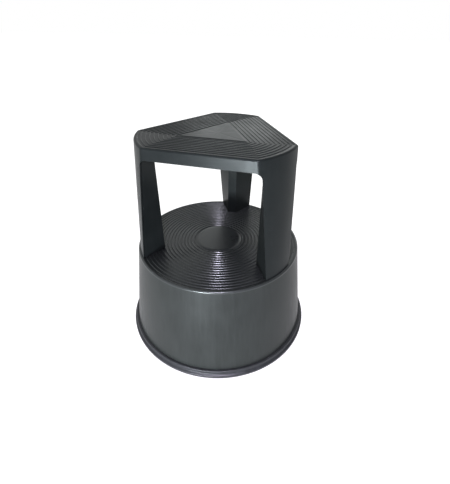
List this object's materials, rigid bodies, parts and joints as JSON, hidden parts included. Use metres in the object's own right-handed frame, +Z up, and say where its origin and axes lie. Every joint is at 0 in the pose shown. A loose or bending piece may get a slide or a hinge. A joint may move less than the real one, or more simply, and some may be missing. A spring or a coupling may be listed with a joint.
{
  "type": "kick step stool",
  "caption": "Two-level rolling step stool: ribbed triangular top step on flared legs over a round conical lower step with a bumper ring and hidden sprung castors.",
  "frame": {"origin": "on the floor below the stool's centre with the castors extended", "axes": "+Z up along the stool's three-fold axis, +Y towards one leg"},
  "size_m": [0.4059, 0.406, 0.43],
  "materials": {
    "step_plastic": "satin, fine moulded grain",
    "drum_plastic": "satin, fine moulded grain",
    "ring_rubber": "satin",
    "guide_plastic": "smooth acetal",
    "wheel_plastic": "matt",
    "bright_steel": "zinc plated",
    "spring_steel": "drawn wire"
  },
  "bodies": {
    "stool": {"upper_step": "step_plastic", "lower_tread": "drum_plastic", "drum_wall": "drum_plastic", "base_ring": "ring_rubber", "leg_screws": "bright_steel", "socket_screws": "bright_steel", "castor_tower_1": "drum_plastic", "guide_bush_1": "guide_plastic", "castor_spring_1": "spring_steel", "castor_tower_2": "drum_plastic", "guide_bush_2": "guide_plastic", "castor_spring_2": "spring_steel", "castor_tower_3": "drum_plastic", "guide_bush_3": "guide_plastic", "castor_spring_3": "spring_steel"},
    "slider_1": {"castor_plunger_1": "guide_plastic"},
    "fork_1": {"castor_fork_1": "bright_steel", "castor_stem_1": "bright_steel", "stem_clip_1": "spring_steel", "castor_axle_1": "bright_steel"},
    "wheel_1": {"castor_wheel_1": "wheel_plastic"},
    "slider_2": {"castor_plunger_2": "guide_plastic"},
    "fork_2": {"castor_fork_2": "bright_steel", "castor_stem_2": "bright_steel", "stem_clip_2": "spring_steel", "castor_axle_2": "bright_steel"},
    "wheel_2": {"castor_wheel_2": "wheel_plastic"},
    "slider_3": {"castor_plunger_3": "guide_plastic"},
    "fork_3": {"castor_fork_3": "bright_steel", "castor_stem_3": "bright_steel", "stem_clip_3": "spring_steel", "castor_axle_3": "bright_steel"},
    "wheel_3": {"castor_wheel_3": "wheel_plastic"}
  },
  "joints": [
    {"name": "castor_press_1", "type": "slide", "parent": "stool", "child": "slider_1", "axis": [0, 0, 1], "range_m": [0, 0.009], "stiffness_N_per_m": 4000, "springref_m": -0.005, "deforming": ["castor_spring_1"]},
    {"name": "castor_swivel_1", "type": "hinge", "parent": "slider_1", "child": "fork_1", "pos_m": [0.12557, 0.0725, 0.048], "axis": [0, 0, 1], "continuous": true},
    {"name": "wheel_spin_1", "type": "hinge", "parent": "fork_1", "child": "wheel_1", "pos_m": [0.11285, 0.08045, 0.019], "axis": [-0.5299, -0.848, 0], "continuous": true},
    {"name": "castor_press_2", "type": "slide", "parent": "stool", "child": "slider_2", "axis": [0, 0, 1], "range_m": [0, 0.009], "stiffness_N_per_m": 4000, "springref_m": -0.005, "deforming": ["castor_spring_2"]},
    {"name": "castor_swivel_2", "type": "hinge", "parent": "slider_2", "child": "fork_2", "pos_m": [-0.12557, 0.0725, 0.048], "axis": [0, 0, 1], "continuous": true},
    {"name": "wheel_spin_2", "type": "hinge", "parent": "fork_2", "child": "wheel_2", "pos_m": [-0.1261, 0.05751, 0.019], "axis": [0.9994, -0.0349, 0], "continuous": true},
    {"name": "castor_press_3", "type": "slide", "parent": "stool", "child": "slider_3", "axis": [0, 0, 1], "range_m": [0, 0.009], "stiffness_N_per_m": 4000, "springref_m": -0.005, "deforming": ["castor_spring_3"]},
    {"name": "castor_swivel_3", "type": "hinge", "parent": "slider_3", "child": "fork_3", "pos_m": [0, -0.145, 0.048], "axis": [0, 0, 1], "continuous": true},
    {"name": "wheel_spin_3", "type": "hinge", "parent": "fork_3", "child": "wheel_3", "pos_m": [0.01324, -0.13796, 0.019], "axis": [-0.4695, 0.8829, 0], "continuous": true}
  ]
}
